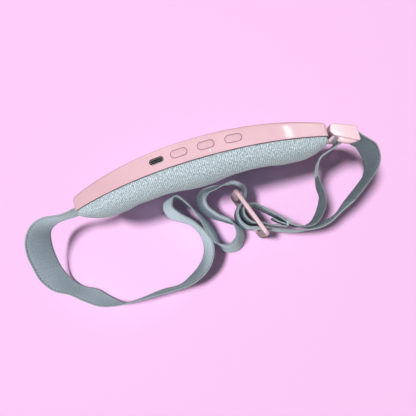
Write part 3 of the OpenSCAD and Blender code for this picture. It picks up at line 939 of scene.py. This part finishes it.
def puff(pad, first_free):
    """Lets the knit swell over its foam, held round the rim, by at most a small step."""
    cap = PUFF_CAP / 1000
    rest = np.array([v.co for v in pad.data.vertices])
    held = pad.vertex_groups.new(name="held")
    held.add(list(range(first_free)), 1.0, "REPLACE")
    cloth = pad.modifiers.new("cloth", "CLOTH")
    cloth.settings.quality = 6
    cloth.settings.mass = 0.2
    cloth.settings.tension_stiffness = 25
    cloth.settings.compression_stiffness = 25
    cloth.settings.bending_stiffness = 0.6
    cloth.settings.vertex_group_mass = "held"
    cloth.settings.use_pressure = True
    cloth.settings.uniform_pressure_force = 4
    cloth.settings.effector_weights.gravity = 0
    cloth.collision_settings.use_collision = False
    scene = bpy.context.scene
    for step in range(1, 21):
        scene.frame_set(step)
    graph = bpy.context.evaluated_depsgraph_get()
    shaped = pad.evaluated_get(graph).to_mesh()
    moved = np.array([v.co for v in shaped.vertices]) - rest
    pad.evaluated_get(graph).to_mesh_clear()
    pad.modifiers.clear()
    scene.frame_set(1)
    reach = np.linalg.norm(moved, axis=1)
    moved *= np.minimum(1, cap / np.maximum(reach, 1e-9))[:, None]
    pad.data.vertices.foreach_set("co", (rest + moved).astype(np.float32).ravel())
    pad.data.update()


def raise_ribs(pad):
    """Real ribs and a little unevenness in the knit's surface."""
    count = len(pad.data.vertices)
    run = np.zeros(count * 3, np.float32)
    pad.data.attributes["weave"].data.foreach_get("vector", run)
    run = run.reshape(-1, 3)
    place = np.array([v.co for v in pad.data.vertices])
    normal = np.array([v.normal for v in pad.data.vertices])
    rib = RIB_RISE / 1000 * np.sin(2 * math.pi * run[:, 0] / RIB_PITCH)
    uneven = np.array([noise.noise(Vector((u * 0.12, v * 0.12, 3))) for u, v, _ in run])
    uneven *= UNEVEN_RISE / 1000
    place += normal * (rib + uneven)[:, None]
    pad.data.vertices.foreach_set("co", place.astype(np.float32).ravel())
    pad.data.update()
    pad.data.shade_smooth()


# ---- strap ----
# x, y and height of the middle line, then how far the upper edge leans along x and y
ROUTE = [
    [-82, -18, 51, 0, 0], [-92, -19.6, 51, 0, 0], [-104, -21, 50, 0, 0], [-120, -20, 46, 0, 1],
    [-131, -23, 42, -1, 1], [-138, -30, 37, -3, 0], [-142, -40, 31, -4, 0], [-143, -52, 25, -4, 0],
    [-142, -62, 20, -4, -1], [-137, -71, 17, -2, -2], [-128, -78, 16, 0, -1], [-117, -85, 16, -1, -2],
    [-107, -93, 16, 0, -1], [-95, -99, 16, 0, 2], [-79, -99, 16, 0, 1], [-62, -98, 16, 0, 0],
    [-46, -98, 16, 0, 0], [-33, -95, 16, 2, -2], [-22, -89, 16, 4, -2], [-15, -81, 16, 5, -1],
    [-12, -71, 16, 5, 0], [-14, -61, 16, 4, 0], [-20, -51, 16, 3, 1], [-27, -45, 16, 3, 2],
    [-33, -40, 16, 5, 2], [-36, -34, 16, 6, 0], [-34, -28, 16, 6, -1], [-29, -26, 16, 3, -1],
    [-24, -29, 16, 1, 1], [-19, -36, 16, 1, 1], [-14, -44, 16, 0, 0], [-10, -53, 16, -1, 0],
    [-7, -63, 16, -2, 0], [-5, -71, 16, -1, 1], [-1, -77, 16, 1, 3], [5, -79, 16, 0, 4],
    [11, -77, 16, -2, 4], [15, -71, 16, -3, 1], [15, -64, 16, -2, 0], [10, -58, 16, 0, 2],
    [3, -53, 16, 1, 2], [-4, -47, 16, 3, 2], [-8, -41, 16, 5, 0], [-8, -34, 16, 5, -2],
    [-3, -29, 16, 4, -3], [5, -28, 16, 2, -3], [14, -28, 16, 1, -1], [22, -29, 17, 0, 0],
    [27, -34, 18, 1, 0], [27.5, -40, 19, 1, 0], [24.5, -45, 20, 1.7, 0.6], [20, -48.5, 20, 1.7, 0.6],
    [16.5, -54, 20, 1.7, 0.6], [17, -61, 20, 1.7, 0.6], [21.5, -66.5, 20, 1.7, 0.6],
    [28.6, -68.8, 20, 1.7, 0.6], [38, -72.3, 20, 1, 0.6], [49, -77, 20, 0, 1], [61, -80.5, 21, 0, 1],
    [72, -81, 24, 0, 0], [81, -79, 28, 0, 0], [90, -75, 32, -1, 1], [100, -68, 36, 0, 0],
    [110, -60, 40, 0, 0], [117.5, -53, 43, 0, 0], [121, -45, 45, 1, 0], [120.5, -37, 47, 1, 1],
    [117, -31, 49, 0, 0], [113.5, -27.5, 50, 0, 0], [110.5, -24, 51, 0, 0], [108.8, -20.8, 51, 0, 0],
    [106.5, -19, 51, 0, 0], [103.8, -19.5, 51, 0, 0], [102.3, -22, 51, 0, 0], [100.4, -25, 51, 0, 0],
    [96.5, -28, 51, -1, -1], [91, -30, 50, -1, -1], [85, -33.5, 48, -2, 0], [82, -38.5, 45, -2, 0],
    [81, -45, 41, -2, 0], [81.5, -52, 37, -1, 0], [82.5, -59, 33, -1, 0], [81, -66, 29, 0, 0],
    [78, -71.5, 25, 0, 0], [73.5, -76.5, 22, 0, 0], [68, -78.3, 21, 0, 0], [63, -77.2, 20, 0, 0],
    [57, -74.4, 20, 0, 0], [51.5, -69.6, 20, 0, 0], [46.5, -64.2, 20, 1, 0], [39.3, -57.3, 20, 1, 0],
    [32, -51.2, 20, 1, 0.6], [25, -50, 20, 1.7, 0.6], [21.3, -53, 20, 1.7, 0.6], [22, -59.5, 20, 1.7, 0.6],
    [26.1, -64.4, 20, 1.7, 0.6], [31, -66, 20, 1.7, 0.6], [40, -69.5, 20, 0, 0], [51, -73.8, 20, 0, 0],
]
FLAP = [[50.9, -73.6, 20, 0, 0], [51.9, -73.1, 20, 0, 0], [51.4, -72.2, 20, 0, 0], [48, -70, 20, 0, 0],
        [45, -67.6, 20, 0, 0], [42.8, -65.2, 20, 0, 0]]
# name, first and last place on the route, the body and a second body, and where a blend between them would
# start and end, which nothing reads
STRAP_PIECES = [
    ("strap_main", 0, 46, "mask", None, None, None),
    ("strap_to_slider", 46, 50, "mask", "slider", (22, -31), (24, -43)),
    ("strap_slider_wrap", 50, 56, "slider", None, None, None),
    ("strap_strand_out", 56, 62, "slider", "mask", (42, -75), (96, -71)),
    ("strap_to_ring", 62, 68.5, "mask", "ring", (104, -64), (117, -31)),
    ("strap_ring_turn", 68.5, 74, "ring", None, None, None),
    ("strap_from_ring", 74, 79, "ring", "mask", (99, -26), (83, -43)),
    ("strap_strand_back", 79, 86.3, "mask", "slider", (81.5, -48), (62, -74)),
    ("strap_end_loop", 86.3, 98, "slider", None, None, None),
]


def spline(route, place):
    """The route's values at a place counted in control points."""
    last = len(route) - 1
    i = min(int(place), last - 1)
    t = place - i
    a, b, c, d = (np.array(route[k], float) for k in (max(i - 1, 0), i, i + 1, min(i + 2, last)))
    return 0.5 * (2 * b + (c - a) * t + (2 * a - 5 * b + 4 * c - d) * t ** 2
                  + (3 * b - a - 3 * c + d) * t ** 3)


def strap_profile():
    """(across, thickness) round the strap: flat faces, a sewn groove near each edge, round edges."""
    half_w, half_t = STRAP_W / 2, STRAP_T / 2
    sewn = half_t - 0.12
    face = [(-14.0, half_t), (-13.75, sewn), (-13.5, sewn), (-13.25, half_t)]
    face += [(s, half_t) for s in (-12, -9, -6, -3, 0, 3, 6, 9, 12)]
    face += [(13.25, half_t), (13.5, sewn), (13.75, sewn), (14.0, half_t)]
    edge = [(half_w - half_t + half_t * math.cos(math.radians(a)), half_t * math.sin(math.radians(a)))
            for a in range(72, -73, -24)]
    return face + edge + [(-s, -t) for s, t in face] + [(-s, -t) for s, t in edge]


def strap_piece(name, route, first, last, step=1.1, start_run=0.0):
    """A length of strap along the route between two places. Gives the object and its length."""
    dense = np.array([spline(route, first + (last - first) * k / 900) for k in range(901)])
    travel = np.r_[0, np.cumsum(np.linalg.norm(np.diff(dense[:, :3], axis=0), axis=1))]
    count = max(2, int(round(travel[-1] / step)))
    stops = np.linspace(0, travel[-1], count + 1)
    here = np.array([np.interp(stops, travel, dense[:, k]) for k in range(5)]).T
    margin = 0.02
    full = len(route) - 1
    before = spline(route, max(first - margin, 0))[:3]
    after = spline(route, min(last + margin, full))[:3]
    ahead = np.gradient(here[:, :3], axis=0)
    if first > 0:
        ahead[0] = here[0, :3] - before
    if last < full:
        ahead[-1] = after - here[-1, :3]
    profile = strap_profile()
    points, rings, run = [], [], []
    for k, (stop, t) in enumerate(zip(here, ahead)):
        rise = np.array([stop[3], stop[4], math.sqrt((STRAP_W / 2) ** 2 - stop[3] ** 2 - stop[4] ** 2)])
        rise /= STRAP_W / 2
        out = np.cross(t, rise)
        out /= np.linalg.norm(out)
        rings.append((len(points), len(profile)))
        for s, thick in profile:
            points.append(stop[:3] + rise * s + out * thick)
            run.append((s, start_run + stops[k], 1 if thick > 0 else 2))
    n = len(profile)
    faces = loft(rings)
    for base in (0, rings[-1][0]):
        half = n // 2
        for k in range(half - 1):
            faces.append((base + k, base + k + 1, base + n - 2 - k, base + n - 1 - k))
    made = build(name, points, faces, "grey_elastic")
    layer = made.data.attributes.new("weave", "FLOAT_VECTOR", "POINT")
    layer.data.foreach_set("vector", np.array(run, np.float32).ravel())
    return made, travel[-1]


def make_strap():
    run = 0.0
    for name, first, last, body, other, start, end in STRAP_PIECES:
        made, length = strap_piece(name, ROUTE, first, last, start_run=run)
        run += length
        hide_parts("strap")
        if other:
            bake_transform(made)
        else:
            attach(made, body)
    flap, length = strap_piece("strap_hem_flap", FLAP, 0, len(FLAP) - 1, 0.6)
    finish_piece(flap, "slider", "grey_elastic")
    make_stitches()


def make_stitches():
    """Rows of thread that hold the strap's folded end, and the frayed ends of its yarns."""
    rows = []
    for along in (97.45, 97.8):
        middle = spline(ROUTE, along)[:3]
        ahead = spline(ROUTE, along + 0.1)[:3] - middle
        out = np.cross(ahead, (0, 0, 1))
        out /= np.linalg.norm(out)
        for side in (-1, 1):
            for k in range(16):
                low = middle + out * side * (STRAP_T / 2 + 0.05) + np.array([0, 0, -12.6 + 1.6 * k])
                rows.append([low, low + out * side * 0.12 + np.array([0, 0, 0.6]),
                             low + np.array([0, 0, 1.2])])
    thread = swept("end_stitches", rows, THREAD_R, "thread")
    finish_piece(thread, "slider", "grey_elastic")
    shift = random.Random(7)
    frays = []
    for _ in range(YARN_ENDS):
        start = np.array([50.8 + shift.uniform(-0.4, 1.2), -72.4 + shift.uniform(-1.2, 0.8),
                          20 + shift.uniform(12.5, 15)])
        way = np.array([shift.uniform(0.1, 1.0), shift.uniform(0.4, 1.4), shift.uniform(0.3, 1.0)])
        way *= shift.uniform(3.0, 6.5) / np.linalg.norm(way)
        droop = np.array([shift.uniform(-0.5, 0.9), shift.uniform(-0.5, 0.5), -0.4])
        frays.append([start, start + way * 0.5 + droop * 0.1, start + way + droop])
    tuft = swept("frayed_yarn", frays, YARN_R, "thread", 5)
    finish_piece(tuft, "slider", "grey_elastic")


# ---- CAD nodes that stay ----
def dress(node, material, bevel=0.0):
    """Gives a CAD node its material and softens its edges."""
    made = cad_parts[node]
    made.data.materials.clear()
    made.data.materials.append(MATERIALS[material])
    weld = made.modifiers.new("weld", "WELD")
    weld.merge_threshold = 0.000005
    if bevel:
        soften(made, bevel, 40)
    weigh_normals(made)


DRESSED = {
    "back_cover": ("cover_plastic", 0), "pad_frame": ("dark_plastic", 0),
    "port_tongue": ("dark_plastic", 0.08), "push_switches": ("dark_plastic", 0.15),
    "main_board": ("circuit_board", 0.1), "board_chips": ("dark_plastic", 0.1),
    "battery": ("cell_foil", 0.6), "light_pipe": ("clear_plastic", 0.1),
    "heater_left": ("heater_film", 0), "heater_right": ("heater_film", 0),
    "motor_left": ("steel", 0.3), "motor_right": ("steel", 0.3),
    "motor_shaft_left": ("steel", 0.1), "motor_shaft_right": ("steel", 0.1),
    "motor_weight_left": ("tungsten", 0.2), "motor_weight_right": ("tungsten", 0.2),
    "case_screws": ("steel", 0.15), "strap_clamp": ("dark_plastic", 0.2),
    "clamp_screws": ("steel", 0.15), "hinge_pin": ("steel", 0.1),
}

make_camera()
make_stage()
make_shell()
make_port()
for button_body, place in BUTTONS.items():
    make_button(button_body, CONTROL_X[place])
make_ring()
make_slider()
make_pad()
make_strap()
for node_name, (finish, edge_size) in DRESSED.items():
    dress(node_name, finish, edge_size)

make_lights()

bpy.context.view_layer.update()
